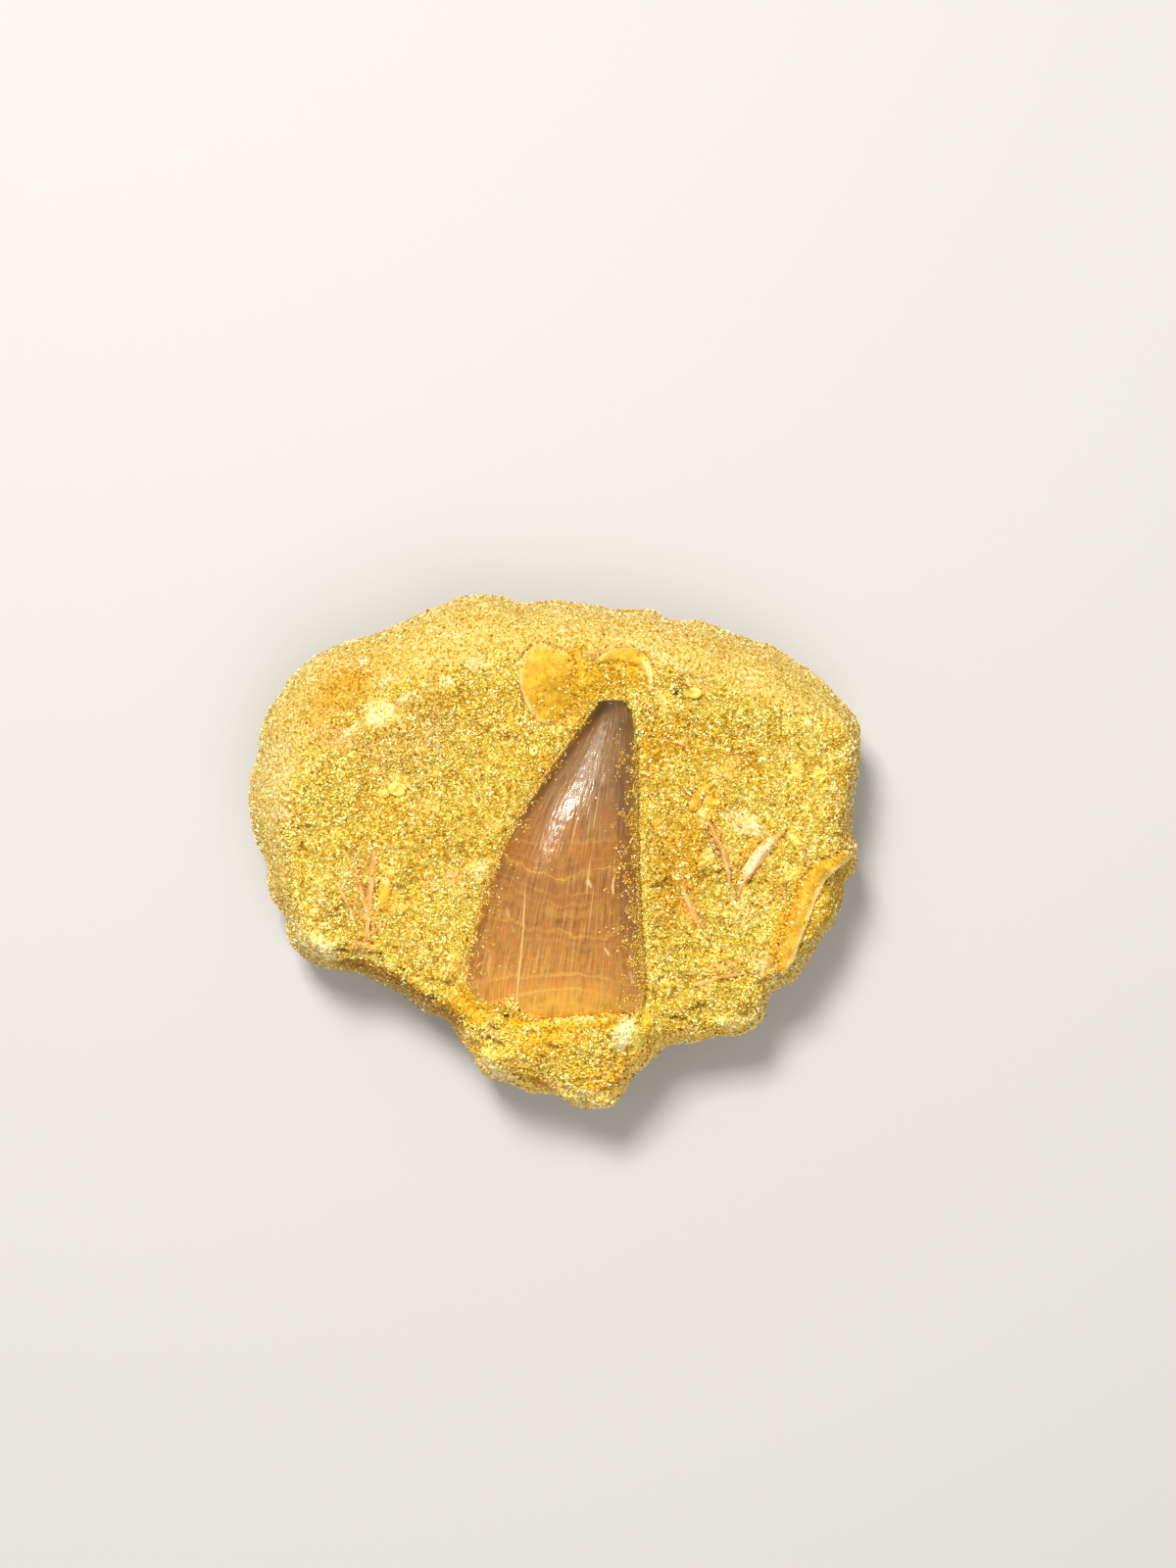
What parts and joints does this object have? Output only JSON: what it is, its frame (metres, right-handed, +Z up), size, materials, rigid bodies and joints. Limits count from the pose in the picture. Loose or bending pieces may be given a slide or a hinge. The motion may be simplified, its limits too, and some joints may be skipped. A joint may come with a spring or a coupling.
{
  "type": "fossil mosasaur tooth in matrix",
  "caption": "Curved fossil reptile tooth lying half proud in a loose block of yellow phosphate sand, with shell and fish bone fragments in the sand round it.",
  "frame": {"origin": "on the flat underside of the block, below the middle of its outline", "axes": "+Z up out of the block's face; +Y along the tooth from root to tip; +X across the block to the tooth's steep flank"},
  "size_m": [0.0866, 0.073, 0.0288],
  "materials": {
    "phosphate_sand": "matte",
    "tooth_enamel": "satin",
    "orange_shell": "satin",
    "pale_bone": "matte",
    "stained_bone": "matte",
    "pebble": "matte"
  },
  "bodies": {
    "root": {"matrix_block": "phosphate_sand", "tooth_crown": "tooth_enamel", "shell_disc": "orange_shell", "shell_arc": "orange_shell", "shell_crescent": "orange_shell", "shell_plate": "orange_shell", "orange_chip": "orange_shell", "bone_splinter": "pale_bone", "bone_rib": "stained_bone", "fish_bone_fork": "stained_bone", "fish_bone_strand": "stained_bone", "bone_sliver_low": "stained_bone", "bone_sliver_mid": "stained_bone", "pebble_yellow": "pebble", "pebble_pale": "pebble", "pebble_upper": "pebble"}
  },
  "joints": []
}
